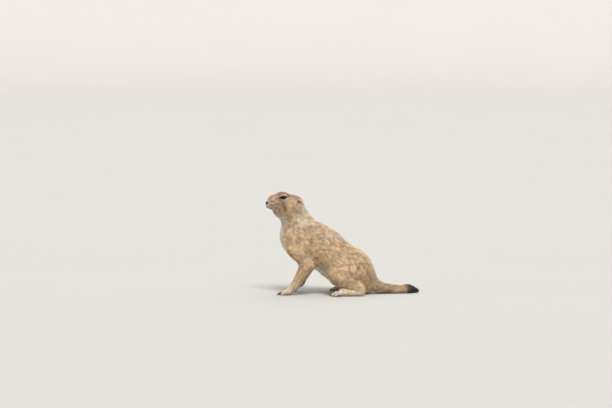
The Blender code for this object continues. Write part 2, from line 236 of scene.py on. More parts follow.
def head_masses():
    def skull(place, radii, fur="crown", blend=8.0, droop=0.0):
        return ball(on_head(*place), radii, fur, blend=blend, lie=(0.5, 0, -droop), under=(0, 0, -1))

    back, front = on_head(27, 0, 5.4), on_head(14, 0, 4.5)
    masses = [
        skull((44, 0, -0.7), (22.5, 23, 16)),
        skull((31, 0, 6), (15, 16.5, 14), blend=5),
        skull((55, 0, -2), (11, 18.5, 12)),
        Mass(back, front, 14, 11.2, "muzzle", (1, 0.9, 1), 6, lie=(1, 0, 0), under=(0, 0, -1)),
        skull((6.2, 0, -0.5), (7, 6, 7.2), "muzzle", 4),
        skull((5.5, 0, -5.3), (5, 4.6, 3.2), "muzzle", 2),
        skull((14.5, 0, -6.3), (9.5, 7.5, 4.6), "muzzle", 3),
        skull((32.5, 0, -14.3), (19.3, 15, 12.5), "cheek", droop=0.4),
    ]
    for side, _ in SIDES:
        masses += [
            skull((12.5, 5.2 * side, -2.8), (8.5, 6.2, 6.2), "muzzle", 4),
            skull((37, 13.5 * side, -8.5), (17, 12.5, 14.5), "cheek", droop=0.7),
            skull((50, 13 * side, -8), (15, 12.5, 14.5), "cheek", droop=0.9),
            skull((40, 11.5 * side, 5), (14, 8.8, 8.8)),
            skull((19, 7.5 * side, 4.5), (10, 6.5, 8), "muzzle", 5),
            skull(EYE * (1, side, 1), (LID_RADIUS,) * 3, "lid", 4),
        ]
    for mass in masses:
        mass.turned = True
    return masses


def neck_masses():
    return [
        Mass((13.4, 0, 147), (23.4, 0, 131), 21.4, 24.9, "neck", blend=9),
        Mass((23.4, 0, 131), (36, 0, 100), 24.9, 39, "neck", (1, 0.96, 1), 9),
        Mass((16.5, 0, 131), (17, 0, 108), 10.5, 23, "throat", blend=12),
        ball((6, 0, 147.5), (12.5, 16, 12), "throat", blend=9, lie=(0.7, 0, -0.7), under=(-0.4, 0, -0.9)),
    ]


def chain(stations, fur, **options):
    """Limbs from each station to the next, where a station is (centre, radius)."""
    return [
        Mass(here, there, radius, next_radius, fur, **options)
        for (here, radius), (there, next_radius) in zip(stations, stations[1:])
    ]


def trunk_masses():
    chest, ribs, belly, pelvis = (36, 0, 100), (68.5, 0, 82.2), (98, 0, 58), (124, 0, 39)
    rump = (140, 0, 26)
    return (
        chain([(chest, 39), (ribs, 38.5)], "trunk", stretch=(1, 0.96, 1), blend=6)
        + chain([(ribs, 38.5), (belly, 36.5)], "trunk", stretch=(1, 1.04, 1), blend=6)
        + chain([(belly, 36.5), (pelvis, 38.5), (rump, 28)], "trunk", stretch=(1, 1.1, 1), blend=6)
    )


def foreleg_masses(side):
    step = FORELEG_STAGGER * side
    scapula, point_of_shoulder = (44 + step, 25 * side, 104), (28 + step, 27 * side, 82)
    elbow, wrist = (47 + step, 31 * side, 55), (26 + step, 26 * side, 18)
    inner = {"under": (0.2, -side, -0.3)}
    return [
        Mass(scapula, point_of_shoulder, 15, 17, "shoulder", (1, 0.72, 1), 10, lie=(0.3, 0, -1), **inner),
        Mass(point_of_shoulder, elbow, 14, 12.5, "arm", blend=9, **inner),
        Mass(elbow, wrist, 12, 7.8, "forearm", blend=8, **inner),
    ]


def forepaw_masses(side):
    step = FORELEG_STAGGER * side
    wrist, palm = (26 + step, 26 * side, 18), (15 + step, 26 * side, 6.2)
    return [Mass(wrist, palm, 7.8, 7, "paw", (1, 1.1, 0.95), 5)] + toe_masses(forepaw_digits(side))


def hindleg_masses(side):
    hip, knee, heel = (126, 26 * side, 50), (98, 39 * side, 38), (137, 41 * side, 15)
    inner = {"under": (-0.2, -side, -0.5)}
    return [
        Mass(hip, knee, 28, 20, "thigh", (1, 0.92, 1), 12, lie=(0.5, 0, -1), **inner),
        Mass((98, 42 * side, 33), heel, 13, 9, "shank", blend=8, lie=(1, 0, -0.6), **inner),
    ]


def hindfoot_masses(side):
    heel, ball_of_foot = (138, 41 * side, 6.8), (106, 43 * side, 6.6)
    sole = Mass(heel, ball_of_foot, 8, 8.2, "paw", (1, 1.08, 0.9), 6)
    return [sole] + toe_masses(hindfoot_digits(side))


Digit = namedtuple("Digit", "knuckle middle tip claw_root claw_tip radius")


def digit(knuckle, reach, sideways, radius, claw):
    """One toe that arches forward to the floor, and its claw."""
    x, y, z = knuckle
    middle = np.array((x - 0.55 * reach, y + 0.55 * sideways, z + 0.4))
    tip = np.array((x - reach, y + sideways, radius - 0.5))
    claw_tip = np.array((tip[0] - 0.9 * claw, tip[1] + 0.15 * sideways, 1.0))
    return Digit(np.array(knuckle), middle, tip, tip + (0, 0, 0.6), claw_tip, radius)


def forepaw_digits(side):
    spreads = (-5.4, 10.0), (-1.9, 12.5), (1.9, 12.0), (5.3, 9.0)
    step = FORELEG_STAGGER * side
    return [
        digit((12.5 + step, 26 * side + spread, 5.8), reach, 0.5 * spread, radius=2.6, claw=9.0)
        for spread, reach in spreads
    ]


def hindfoot_digits(side):
    spreads = (-8.0, 9.0), (-4.2, 13.0), (0.0, 14.5), (4.2, 13.0), (7.8, 8.0)
    return [
        digit((102, 43 * side + spread, 5.2), reach, 0.35 * spread, radius=2.8, claw=6.0)
        for spread, reach in spreads
    ]


def toe_masses(digits):
    """Two short limbs for each toe."""
    masses = []
    for bones in digits:
        radius = bones.radius
        masses.append(Mass(bones.knuckle, bones.middle, radius + 0.5, radius, "toe", blend=2.2))
        masses.append(Mass(bones.middle, bones.tip, radius, 0.9 * radius, "toe", blend=2))
    return masses


TAIL = [
    ((150, 0, 24), 14),
    ((172, 1, 11.5), 10.5),
    ((198, 4, 7.2), 8.6),
    ((224, 9, 7.2), 8.8),
    ((238, 12.5, 4.4), 5.4),
]


def whole_body():
    tail = chain(TAIL, "tail", stretch=(1, 1.35, 0.85), blend=8)
    masses = neck_masses() + head_masses() + trunk_masses() + tail
    for side, _ in SIDES:
        masses += foreleg_masses(side) + forepaw_masses(side)
        masses += hindleg_masses(side) + hindfoot_masses(side)
    return masses


EARS = [Ear(side) for side, _ in SIDES]
BODY = whole_body() + EARS
FIELD_STEP = 0.2
LEAST_STEEPNESS = 0.25


def field(points):
    """The rounded union's distance at each point: a mass flows into the ones before it by its blend."""
    total = np.full(len(points), FAR)
    for mass in BODY:
        near = mass.near(points)
        here, other = total[near], mass.distance(points[near])
        overlap = np.maximum(mass.blend - np.abs(here - other), 0)
        total[near] = np.minimum(here, other) - overlap**2 / (4 * mass.blend)
    return total


def settled(points, levels, rounds=5):
    """The points moved along the field's slope towards these levels."""
    for _ in range(rounds):
        here = field(points)
        rises = [field(points + step) - here for step in np.eye(3) * FIELD_STEP]
        slope = np.stack(rises, axis=1) / FIELD_STEP
        steepness = np.maximum((slope**2).sum(axis=1), LEAST_STEEPNESS)
        points = points - slope * ((here - levels) / steepness)[:, None]
    return points


def shares(points, softness=3.0):
    """How much each mass rules at each point: a row for each mass, with columns that add up to 1."""
    gaps = np.full((len(BODY), len(points)), FAR)
    for row, mass in zip(gaps, BODY):
        near = mass.near(points)
        row[near] = mass.distance(points[near])
    share = np.exp((gaps.min(axis=0) - gaps) / softness)
    return share / share.sum(axis=0)


def fur_value(share, name):
    """One measure of the fur at each point, from the masses' shares."""
    return np.array([getattr(FUR[mass.fur], name) for mass in BODY]) @ share


# ---------------- meshes


def linked(name, data):
    """A new object in the scene that shows this mesh, light or camera."""
    made = bpy.data.objects.new(name, data)
    bpy.context.scene.collection.objects.link(made)
    return made


def finished(mesh, name):
    """What a bmesh holds as a mesh of its own, with the bmesh freed."""
    data = bpy.data.meshes.new(name)
    mesh.to_mesh(data)
    mesh.free()
    return data


def close_hull(mesh):
    """Replaces what a bmesh holds with the convex hull of its points."""
    bmesh.ops.delete(mesh, geom=mesh.edges[:] + mesh.faces[:], context="EDGES_FACES")
    bmesh.ops.convex_hull(mesh, input=mesh.verts[:])
    loose = [v for v in mesh.verts if not v.link_faces]
    bmesh.ops.delete(mesh, geom=loose, context="VERTS")
    bmesh.ops.recalc_face_normals(mesh, faces=mesh.faces[:])


def rows_of(items, key, kind=float):
    """One property of each item of a mesh, as rows of three numbers."""
    flat = np.empty(len(items) * 3, kind)
    items.foreach_get(key, flat)
    return flat.reshape(-1, 3)


def points_of(data):
    return rows_of(data.vertices, "co")


def normals_of(data):
    return rows_of(data.vertex_normals, "vector")


def set_points(data, points):
    data.vertices.foreach_set("co", points.astype(np.float32).ravel())
    data.update()


def mesh_of_triangles(name, points, triangles):
    data = bpy.data.meshes.new(name)
    data.vertices.add(len(points))
    data.vertices.foreach_set("co", points.astype(np.float32).ravel())
    data.loops.add(triangles.size)
    data.loops.foreach_set("vertex_index", triangles.astype(np.int32).ravel())
    data.polygons.add(len(triangles))
    data.polygons.foreach_set("loop_start", np.arange(0, triangles.size, 3, dtype=np.int32))
    data.update(calc_edges=True)
    return data


def applied(data, kind, **settings):
    """The mesh that a modifier makes of a mesh."""
    obj = linked("applied", data)
    added = obj.modifiers.new(kind.lower(), kind)
    for key, value in settings.items():
        setattr(added, key, value)
    graph = bpy.context.evaluated_depsgraph_get()
    made = bpy.data.meshes.new_from_object(obj.evaluated_get(graph), depsgraph=graph)
    bpy.data.objects.remove(obj)
    bpy.data.meshes.remove(data)
    return made


def refined(data, chosen):
    """Splits in four each face whose points are all chosen."""
    mesh = bmesh.new()
    mesh.from_mesh(data)
    edges = [e for e in mesh.edges if chosen[e.verts[0].index] and chosen[e.verts[1].index]]
    bmesh.ops.subdivide_edges(mesh, edges=edges, cuts=1, use_grid_fill=True)
    bmesh.ops.triangulate(mesh, faces=[f for f in mesh.faces if len(f.verts) > 4])
    mesh.to_mesh(data)
    mesh.free()


def store(data, name, values):
    """Keeps one number for each point of a mesh, for its material."""
    data.attributes.new(name, "FLOAT", "POINT").data.foreach_set("value", values.astype(np.float32))


def placed(name, data, material, replaced=()):
    """Makes a piece of a mesh in plan millimetres: in place, shaded smooth, riding on the body."""
    set_points(data, (points_of(data) + PLAN_SHIFT) * MM)
    data.shade_smooth()
    data.materials.clear()
    data.materials.append(material)
    piece = linked(name, data)
    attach(piece, "root")
    if replaced:
        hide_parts(*replaced)


# ---------------- eyes and lids

GAZE = np.array((-0.32, 1.0, 0.3))
ALMOND_FULLNESS = 0.65
CORNER_RISE = 0.9
LID_THICKNESS = 0.45
LID_REACH = 3.2
LID_STANDOFF = 2.5
LID_ZONE = 5.0
SOCKET_DEPTH = 0.9


def almond(forward):
    """Half the height of the open eye at each distance forward of its middle, below 0 past its corners."""
    room = 1 - (2 * forward / EYE_LENGTH) ** 2
    return np.sign(room) * np.abs(room) ** ALMOND_FULLNESS * EYE_HEIGHT / 2


def bow(forward):
    """How far the almond's midline rises towards its corners."""
    return CORNER_RISE * (2 * forward / EYE_LENGTH) ** 2


class Eye:
    """Where an eye is, the way it looks, and the almond that its lids leave open."""

    def __init__(self, side):
        self.centre = turned(NOSE_TIP + EYE * (1, side, 1))
        self.outward = TURN @ unit(GAZE * (1, side, 1))
        forward = TURN @ (-1, 0, 0)
        self.forward = unit(forward - self.outward * (forward @ self.outward))
        self.upward = np.cross(self.outward, self.forward) * side

    def seen(self, points):
        """How far each point is forward, up from the almond's midline, and from the eye's centre."""
        arm = points - self.centre
        reach = lengths(arm)
        scale = EYEBALL_RADIUS / np.maximum(reach, 1e-6)
        forward = arm @ self.forward * scale
        return forward, arm @ self.upward * scale - bow(forward), reach

    def lid_gap(self, points):
        """How far each point is outside the open almond, and FAR behind the eye."""
        forward, up, reach = self.seen(points)
        beyond = np.maximum(reach - EYEBALL_RADIUS - LID_STANDOFF, 0)
        front = (points - self.centre) @ self.outward > 0
        return np.where(front, np.abs(up) - almond(forward) + beyond, FAR)

    def on_surface(self, forward, up, lift=0.0):
        """The points of the eyeball at these measures."""
        up = up + bow(forward)
        out = np.sqrt(np.maximum(EYEBALL_RADIUS**2 - forward**2 - up**2, 0))
        arm = np.outer(forward, self.forward) + np.outer(up, self.upward) + np.outer(out, self.outward)
        return self.centre + arm * (1 + lift / EYEBALL_RADIUS)


EYES = [Eye(side) for side, _ in SIDES]


def lidded(points):
    """Draws the skin over each eyeball as lids, and behind it where they are open."""
    for eye in EYES:
        arm = points - eye.centre
        reach = lengths(arm)
        gap = eye.lid_gap(points)
        around = (gap < FAR) & (reach < EYEBALL_RADIUS + LID_ZONE)
        rim = EYEBALL_RADIUS + LID_THICKNESS
        hug = smooth(LID_REACH, 0.2, gap)
        lid = np.maximum(reach + (rim + 0.1 - reach) * hug, rim)
        lid = np.where(gap < 0, EYEBALL_RADIUS - SOCKET_DEPTH, lid)
        points = np.where(around[:, None], eye.centre + arm * (lid / reach)[:, None], points)
    return points


# ---------------- the skin

SKIN_VOXEL = 1.45
PAWS_TOP, PAWS_BACK = 12.0, 110.0
FINE_ROUND_NOSE, FINE_ROUND_EYE, FINE_LIDS, FINE_ROUND_EAR = 8.0, 11.0, 3.0, 1.5
MOUTH_FRONT, MOUTH_BACK, MOUTH_HALF_WIDTH = 2.0, 10.5, 11.0
MOUTH_LEVEL, MOUTH_DROP, MOUTH_WAVE = -5.8, 0.12, 0.5
MOUTH_DEPTH, CLEFT_DEPTH, NOSE_BED_DEPTH, CANAL_DEPTH = 0.9, 0.6, 1.8, 3.0
EAR_CANAL = np.array((54.0, 23.4, 2.9))
EAR_CANAL_SIZE = np.array((1.5, 4.0, 2.0))


def near_features(points):
    """The places on the head that need the finest mesh: eyes, nose, mouth and ears."""
    near = lengths(points - turned(NOSE_TIP + NOSE_PAD)) < FINE_ROUND_NOSE
    for eye in EYES:
        near |= (lengths(points - eye.centre) < FINE_ROUND_EYE) & (eye.lid_gap(points) < FINE_LIDS)
    for ear in EARS:
        near |= ear.shell_distance(points) < FINE_ROUND_EAR
    return near


def finely_shaped(points):
    """The head and the toes, which need a finer mesh than the body."""
    head = (points - HEAD_CUT[0]) @ HEAD_CUT[1] < 0
    return head | (points[:, 2] < PAWS_TOP) & (points[:, 0] < PAWS_BACK)


def mouth_line(local):
    """How far each point of the muzzle is from the line where the lips meet."""
    back, side, up = local.T
    along = np.clip(back, MOUTH_FRONT, MOUTH_BACK)
    level = MOUTH_LEVEL - MOUTH_DROP * along + MOUTH_WAVE * np.sin(0.45 * along)
    past = np.maximum(np.abs(side) - MOUTH_HALF_WIDTH, 0)
    return np.sqrt((up - level) ** 2 + (back - along) ** 2 + past**2)


def lip_share(local):
    """1 along the muzzle, fading to 0 at the corners of the mouth."""
    return smooth(MOUTH_BACK + 1, MOUTH_BACK - 3, local[:, 0])


def ear_canal(points):
    """1 in the middle of each ear's opening, fading to 0 over a few millimetres."""
    local = from_nose(points)
    local[:, 1] = np.abs(local[:, 1])
    offset = (local - EAR_CANAL) / EAR_CANAL_SIZE
    return np.exp(-(offset**2).sum(axis=1))


def ear_hollow(points):
    """1 in the bowl of each ear, 0 outside it."""
    hollow = np.zeros(len(points))
    for ear in EARS:
        in_bowl = smooth(0.6, -0.6, ear.bowl_distance(points))
        hollow = np.maximum(hollow, in_bowl * smooth(2.5, 1.0, ear.shell_distance(points)))
    return hollow


def nose_reach(local):
    """How far out of the middle of the bare nose each point is: 1 at its edge."""
    return lengths((local - NOSE_PAD) / NOSE_PAD_RADII)


def grooved(points, normals):
    """Sinks the mouth, the cleft under the nose, the nose's bed and the ears' openings into the skin."""
    local = from_nose(points)
    back, side, up = local.T
    mouth = MOUTH_DEPTH * hump(mouth_line(local), 0.9) * lip_share(local)
    cleft = CLEFT_DEPTH * hump(side, 0.5) * smooth(-6.5, -5.5, up) * smooth(0, -1, up) * smooth(5, 3, back)
    bed = NOSE_BED_DEPTH * smooth(1, 0.6, nose_reach(local))
    return points - normals * (mouth + cleft + bed + CANAL_DEPTH * ear_canal(points))[:, None]


def skin_mesh():
    """One closed mesh over the whole animal, inside the CAD's flesh by the depth of the coat."""
    mesh = bmesh.new()
    for mass in BODY:
        mass.add_to(mesh)
    data = applied(finished(mesh, "skin"), "REMESH", mode="VOXEL", voxel_size=SKIN_VOXEL)
    refined(data, finely_shaped(points_of(data)))
    for _ in range(2):
        points = points_of(data)
        set_points(data, settled(points, -fur_value(shares(points), "depth")))
        data = applied(data, "SMOOTH", factor=0.5, iterations=3)
    refined(data, near_features(points_of(data)))
    points = points_of(data)
    points = settled(points, -fur_value(shares(points), "depth"), rounds=3)
    set_points(data, points)
    points = grooved(points, normals_of(data))
    points = lidded(points)
    points[:, 2] = np.maximum(points[:, 2], 0.0)
    set_points(data, points)
    return data


# ---------------- markings

# Each spot of colour: how strong it is, its middle and radii, and how softly it ends. Spots on the head
# are measured from the nose tip. All are on both sides of the animal.
PALE_ON_HEAD = [
    (0.9, (0, 0, -3), (6.5, 9, 9), 0.4),  # chin and lips
    (0.6, (8.5, 9, 1.2), (4.5, 6, 1.2), 0.4),  # upper whisker row
    (0.75, (15.5, 11, -6), (5.5, 8, 5), 0.7),  # behind the mouth: pale patch, raised as painted light on the shaded underside of the muzzle
    (0.25, (48, 20, -17), (14, 12, 8), 0.8),  # jaw
    (0.75, (61, 20, -8), (6, 8, 7), 0.4),  # behind the ear: pale patch, raised as painted light in the shade between ear and neck
]
PALE_ON_BODY = [
    (0.65, (30, 24, 135), (9, 14, 12), 0.8),  # side of the neck: pale patch, and painted light over the cheek's shadow
    (0.6, (45, 0, 146), (18, 24, 22), 0.8),  # nape: pale, with a painted highlight from light above
    (0.25, (82, 20, 112), (22, 30, 16), 0.9),  # withers
]
RUSSET_ON_HEAD = [
    (0.9, (28, 9, 18), (13, 11, 6), 0.7),  # brow
    (0.5, (19, 0, 15), (14, 9, 6), 0.4),  # bridge of the nose
    (0.45, (22.5, 14, -9), (4, 6, 3.5), 0.4),  # front of the cheek
    (0.3, (57, 17, 12), (9, 9, 6), 0.4),  # above the ear
]
BROWN_ON_HEAD = [
    (0.8, (26.5, 19, -1), (3.0, 9, 3.8), 0.4),  # below the eye: brown, partly painted shade on the lower face
    (0.88, (27.5, 20, -6), (3.4, 9, 4.8), 0.5),  # cheek: brown, partly painted shade on the lower face
    (0.6, (22, 10, 14.5), (4.5, 6, 2.5), 0.4),  # before the brow
    (0.4, (18, 11, 8), (6, 7, 3.5), 0.6),  # before the eye
    (0.4, (42.5, 22, -6), (3.5, 8, 3), 0.4),  # hind cheek
    (0.5, (48, 22, -10.5), (7, 7, 2.2), 0.4),  # below the ear
    (0.4, (56.5, 21, -6.5), (3.5, 6, 3), 0.4),  # root of the ear: painted shadow under the ear's hind rim
    (0.65, (8, 8, 3.8), (3.8, 5, 1.5), 0.4),  # above the whiskers
    (0.5, (8, 9, -1.4), (3.8, 6, 1.2), 0.4),  # among the whiskers
    (0.6, (46, 0, 14), (24, 18, 7), 0.4),  # crown: brown, partly painted shade to dim the top of the head lit from above
    (0.4, (20, 0, 17), (14, 12, 6), 0.6),  # forehead: brown, partly painted shade to dim the top lit from above
]
PAINTED_SHADOW_ON_BODY = [(0.3, (38, 33, 121), (16, 18, 8), 0.8)]  # painted shadow of the fold behind the neck, before the shoulder
BLACK_ON_HEAD = [(0.8, (2.6, 5, 1), (1.8, 1.6, 2), 0.4)]  # round the nostrils
TEAR_LINE = np.array((4.2, -1.2, 0.0))
HIND_LINE = np.array((-1.4, 0.0, 0.0))


def painted(places, spots):
    """The strongest of these spots at each place."""
    marks = []
    for strength, centre, radii, edge in spots:
        reach = lengths((places - centre) / np.array(radii, float))
        marks.append(strength * smooth(1 + edge, 1 - edge, reach))
    return np.maximum.reduce(marks)


def segment_gap(points, start, end):
    """How far each point is from a straight line between two places."""
    along = end - start
    share = np.clip((points - start) @ along / (along @ along), 0, 1)
    return lengths(points - start - share[:, None] * along)


def tear_line(points):
    """1 on the dark line down from the front corner of each eye, and on a shorter one behind it."""
    mark = np.zeros(len(points))
    front = np.array((EYE_LENGTH / 2, CORNER_RISE, 0))
    behind = front * (-1, 1, 1)
    for eye in EYES:
        arm = points - eye.centre
        flat = np.stack([arm @ eye.forward, arm @ eye.upward, 0 * arm[:, 0]], axis=1)
        flat[arm @ eye.outward < 0] = FAR
        mark = np.maximum(mark, smooth(1.8, 0.9, segment_gap(flat, front, front + TEAR_LINE)))
        mark = np.maximum(mark, smooth(1.3, 0.5, segment_gap(flat, behind, behind + HIND_LINE)))
    return mark


def ruled_by(share, *furs):
    """How much these kinds of fur rule at each point."""
    return share[[mass.fur in furs for mass in BODY]].sum(axis=0)


def markings(points, normals, share):
    """How pale, russet, brown and black the coat is at each point, each from 0 to 1. Some of the pale is
    painted light, and some of the brown and black is painted shade.
    """
    local = from_nose(points)
    local[:, 1] = np.abs(local[:, 1])
    both_sides = points * (1, 0, 1) + np.abs(points) * (0, 1, 0)
    under = unit(share.T @ np.array([mass.under for mass in BODY]))
    underside = smooth(0.45, 0.9, (normals * under).sum(axis=1))
    gap = np.minimum(*(eye.lid_gap(points) for eye in EYES))
    ring = hump(np.minimum(gap, 20) - 1.1, 0.9)
    tail = ruled_by(share, "tail")
    tail_tip = smooth(-7, 3, (points - TAIL_TIP[0]) @ TAIL_TIP[1]) * tail
    feet = ruled_by(share, "paw", "toe")
    # Painted shadow along the line where the lips meet.
    mouth = smooth(1.1, 0.4, mouth_line(local)) * lip_share(local)
    # The ears' openings painted black, as the shade inside them.
    painted_canal_shade = smooth(0.1, 0.5, ear_canal(points))
    spots = painted(local, PALE_ON_HEAD), painted(both_sides, PALE_ON_BODY)
    pale = np.maximum.reduce([0.95 * underside, 0.75 * ring, 0.55 * feet, *spots])
    brown = np.maximum(painted(local, BROWN_ON_HEAD), painted(both_sides, PAINTED_SHADOW_ON_BODY)) * (1 - ring)
    # Black: the tail's tip, the tear lines, the ears' openings as painted shade, and the mouth's line as
    # painted shadow.
    dark = 0.97 * tail_tip, 0.97 * tear_line(points), 0.97 * painted_canal_shade, 0.8 * mouth
    return {
        "pale": pale * (1 - 0.9 * tail),
        "russet": np.maximum(painted(local, RUSSET_ON_HEAD), 0.5 * ring),
        # Brown in the ears' bowls is painted shade.
        "brown": np.maximum.reduce([brown, 0.35 * tail * (1 - pale), 0.3 * ear_hollow(points)]),
        "black": np.maximum.reduce([*dark, painted(local, BLACK_ON_HEAD)]),
    }


class Skin:
    """The skin's mesh, and at each of its points the fur that grows there."""

    def __init__(self, data):
        data.calc_loop_triangles()
        self.points = points_of(data)
        self.normals = normals_of(data)
        self.triangles = rows_of(data.loop_triangles, "vertices", np.int32)
        first, second, third = np.moveaxis(self.points[self.triangles], 1, 0)
        self.areas = lengths(np.cross(second - first, third - first)) / 2
        share = shares(self.points)
        self.ruler = share.argmax(axis=0)
        self.marks = markings(self.points, self.normals, share)
        self.fur = {name: fur_value(share, name) for name in Fur._fields}
        self.lift = np.ones(len(self.points))
        swept = shares(self.points, softness=7.0)
        self.lie = sum(row[:, None] * mass.hair_lie(self.points) for row, mass in zip(swept, BODY))
        self.part_round_eyes()
        for ear in EARS:
            self.trim(smooth(6, 0, ear.bowl_distance(self.points)), shorter=0.65, lower=0.5)
        self.fur["density"] *= 1 - self.bare()

    def trim(self, near, shorter, lower):
        """Makes the hair shorter and lower, by these shares where near is 1."""
        self.fur["length"] *= 1 - shorter * near
        self.lift *= 1 - lower * near

    def part_round_eyes(self):
        """Turns the hair away from the eyes, and trims it round them."""
        for eye in EYES:
            gap = np.maximum(eye.lid_gap(self.points), 0)
            arm = self.points - eye.centre
            away = unit(arm - np.outer(arm @ eye.outward, eye.outward))
            near = (lengths(arm) < 16) & (gap < 12)
            pull = np.where(near, np.exp(-gap / 2.5), 0)
            self.lie += 1.6 * pull[:, None] * away
            self.trim(pull, shorter=0.55, lower=0.5)

    def bare(self):
        """1 where no hair grows: in the eyes, on the nose, in the ears and mouth, and under the feet."""
        points, local = self.points, from_nose(self.points)
        bare = nose_reach(local) < 1
        bare |= (points[:, 2] < 0.3) & (self.normals[:, 2] < -0.5)
        bare |= mouth_line(local) < 0.5 * lip_share(local)
        for eye in EYES:
            bare |= (eye.lid_gap(points) < 0.3) & (lengths(points - eye.centre) < 9)
        return bare | (ear_canal(points) > 0.25)


# ---------------- the coat

# A tuft's root lies SINK under the skin, and its tip leans to the middle of its lock by the share GATHER.
SINK = 0.3
GATHER = 0.35
MIDDLE_REACH, MIDDLE_HEIGHT, MIDDLE_PULL = 0.42, 0.6, 0.35
GUARD_SHARE, GUARD_LENGTH, GUARD_WIDTH = 0.08, 1.2, 0.6
DARK_TIP_SHARE = 0.16
FLOOR_CLEARANCE = 0.15
PATCH = 0.003
MAP_MARGIN = 0.01
FEET_APART = 60.0


class Roots:
    """Places strewn over part of the skin, with what the skin knows there."""

    def __init__(self, skin, rate, faces):
        chance = np.cumsum(np.where(faces, skin.areas * rate[skin.triangles].mean(axis=1), 0))
        count = int(chance[-1])
        at = (np.arange(count) + RANDOM.random(count)) / count * chance[-1]
        self.corners = skin.triangles[np.minimum(np.searchsorted(chance, at), len(faces) - 1)]
        first, second = np.sqrt(RANDOM.random(count)), RANDOM.random(count)
        self.weights = np.stack([1 - first, first * (1 - second), first * second], axis=1)
        self.count = count
        self.points = self.of(skin.points)
        self.normals = unit(self.of(skin.normals))
        self.lie = unit(along_surface(self.of(skin.lie), self.normals))

    def of(self, values):
        """The skin's values at these places."""
        weights = self.weights if values.ndim == 1 else self.weights[..., None]
        return (values[self.corners] * weights).sum(axis=1)


class Locks:
    """The locks that tufts gather in, each with its own turn, length, height and shade."""

    def __init__(self, skin):
        rate = 1 / skin.fur["lock"] ** 2
        self.roots = Roots(skin, rate, np.ones(len(skin.triangles), bool))
        count = self.roots.count
        self.turn = RANDOM.normal(0, 0.17, count)
        self.length = RANDOM.uniform(0.82, 1.12, count)
        self.height = RANDOM.uniform(0.75, 1.05, count)
        self.shade = RANDOM.normal(1, 0.16, count)
        self.tree = kdtree.KDTree(count)
        for index, point in enumerate(self.roots.points):
            self.tree.insert(point, index)
        self.tree.balance()

    def nearest(self, points):
        return np.array([self.tree.find(point)[1] for point in points])


def tuft_lines(roots, skin, locks):
    """The middle and tip of each tuft, its width, the lock it is in, and whether it is a guard hair."""
    lock = locks.nearest(roots.points)
    count = roots.count
    guard = RANDOM.random(count) < GUARD_SHARE
    turn = locks.turn[lock] + RANDOM.normal(0, 0.12, count)
    across = np.cross(roots.lie, roots.normals)
    lie = roots.lie * np.cos(turn)[:, None] + across * np.sin(turn)[:, None]
    length = roots.of(skin.fur["length"]) * locks.length[lock] * RANDOM.uniform(0.8, 1.12, count)
    length *= np.where(guard, GUARD_LENGTH, 1)
    depth = roots.of(skin.fur["depth"])
    height = depth * roots.of(skin.lift) * locks.height[lock] * RANDOM.uniform(0.65, 1.1, count)
    pull = GATHER * along_surface(locks.roots.points[lock] - roots.points, roots.normals)
    reach = lie * np.sqrt(np.maximum(length**2 - height**2, 0.1))[:, None]
    rise = roots.normals * height[:, None]
    middle = roots.points + MIDDLE_REACH * reach + MIDDLE_HEIGHT * rise + MIDDLE_PULL * pull
    tip = roots.points + reach + rise + pull
    middle = settled(middle, MIDDLE_HEIGHT * height - depth, rounds=2)
    tip = settled(tip, height - depth, rounds=2)
    width = roots.of(skin.fur["width"]) * RANDOM.uniform(0.8, 1.15, count)
    width *= np.where(guard, GUARD_WIDTH, 1)
    return middle, tip, width, lock, guard


def tuft_points(roots, middle, tip, width):
    """Each tuft's five points and their normals: its root in the skin, three round its middle, its tip."""
    across = unit(np.cross(middle - roots.points, roots.normals))
    outward = roots.normals
    sides = np.array([(-0.5, 0), (0, 0.4), (0.5, 0)])
    ring = [middle + (across * sideways + outward * up) * width[:, None] for sideways, up in sides]
    points = np.stack([roots.points - SINK * outward, *ring, tip], axis=1)
    points[..., 2] = np.maximum(points[..., 2], FLOOR_CLEARANCE)
    radial = [unit(across * sideways + outward * (up + 0.1)) for sideways, up in sides]
    normals = np.stack([outward, *radial, outward], axis=1)
    return points, unit(0.55 * outward[:, None, :] + 0.45 * normals)


TUFT_TRIANGLES = np.array([(0, 2, 1), (0, 3, 2), (0, 1, 3), (1, 2, 4), (2, 3, 4), (3, 1, 4)])
TUFT_POINTS = 5
PATCH_HEIGHTS = np.array((0.0, 0.45, 0.45, 0.45, 1.0))
PATCH_SIDES = np.array((0.0, -1.0, 0.0, 1.0, 0.0))


def tuft_shades(roots, locks, lock, guard, pale):
    """How light each point of each tuft is: dark at the root, as the hair's dark base and as painted shade
    deep in the coat, with some tips dark and most pale.
    """
    shade = 1 + (locks.shade[lock] - 1) * (1 - 0.5 * pale) + RANDOM.normal(0, 0.09, roots.count)
    dark = RANDOM.random(roots.count) < (DARK_TIP_SHARE + guard) * (1 - 0.8 * pale)
    tip = np.where(dark, RANDOM.uniform(0.35, 0.7, roots.count), RANDOM.uniform(1.0, 1.25, roots.count))
    middle = np.where(dark, 0.85, 0.97)
    # Dark roots: the hair's own dark base, and painted shade deep in the coat.
    root = 0.62 + 0.15 * pale
    return shade[:, None] * np.stack([root, middle, middle, middle, tip], axis=1)


def unwrapped(points, spine):
    """Where points lie on the skin unrolled round its spine: round it, and along it, each from 0 to 1."""
    best = np.full(len(points), FAR)
    around, along, run = np.zeros(len(points)), np.zeros(len(points)), 0.0
    for start, end in zip(spine, spine[1:]):
        line = end - start
        length = np.linalg.norm(line)
        share = np.clip((points - start) @ line / length**2, 0, 1)
        arm = points - start - share[:, None] * line
        gap = lengths(arm)
        sideways = unit(np.cross(line, (0, 1, 0)))
        turn = np.arctan2(arm @ unit(np.cross(line, sideways)), arm @ sideways)
        closer = gap < best
        best = np.where(closer, gap, best)
        around = np.where(closer, turn, around)
        beyond = (points - start) @ line / length
        along = np.where(closer, run + np.where(share < 1, np.maximum(beyond, -20), beyond), along)
        run += length
    both = np.stack([around, along], axis=1)
    low, high = both.min(axis=0), both.max(axis=0)
    return MAP_MARGIN + (1 - 2 * MAP_MARGIN) * (both - low) / (high - low)


